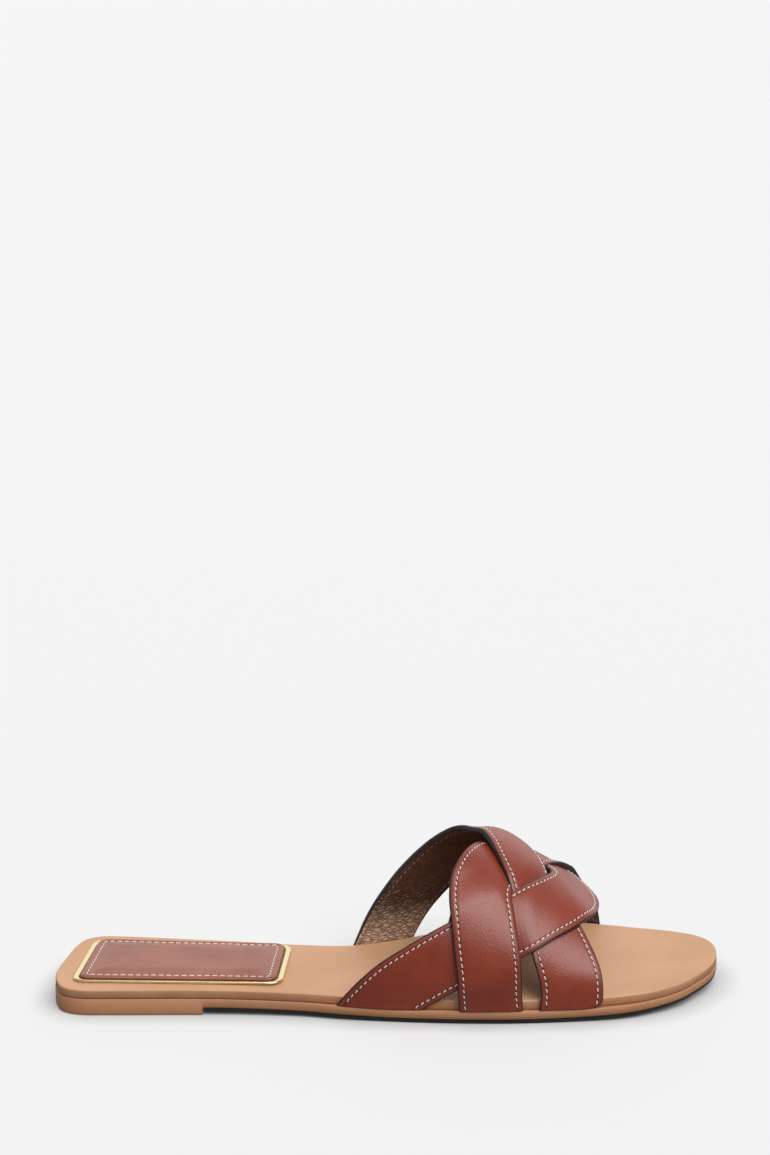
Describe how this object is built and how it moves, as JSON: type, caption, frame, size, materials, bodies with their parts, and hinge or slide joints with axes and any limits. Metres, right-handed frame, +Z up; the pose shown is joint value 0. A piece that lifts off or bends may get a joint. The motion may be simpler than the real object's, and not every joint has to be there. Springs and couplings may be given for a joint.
{
  "type": "slide sandal",
  "caption": "Flat open-toe slide sandal for the right foot, with a braid of wide leather straps over the instep and a framed heel pad on a low stacked sole.",
  "frame": {"origin": "on the floor under the middle of the shoe's bounding box", "axes": "+X from heel to toe, +Y towards the inner side of the foot, +Z up"},
  "size_m": [0.2558, 0.0938, 0.0614],
  "materials": {
    "outsole": "satin moulded, tan brown",
    "tread": "matt black",
    "insole": "smooth, low sheen, pale tan",
    "upper": "polished, reddish brown, fine grain",
    "pad_frame": "polished, pale gold",
    "heel_pad": "satin, reddish tan, fine grain"
  },
  "bodies": {
    "root": {"outsole": "outsole", "tread": "tread", "insole": "insole", "upper": "upper", "pad_frame": "pad_frame", "heel_pad": "heel_pad"}
  },
  "joints": []
}
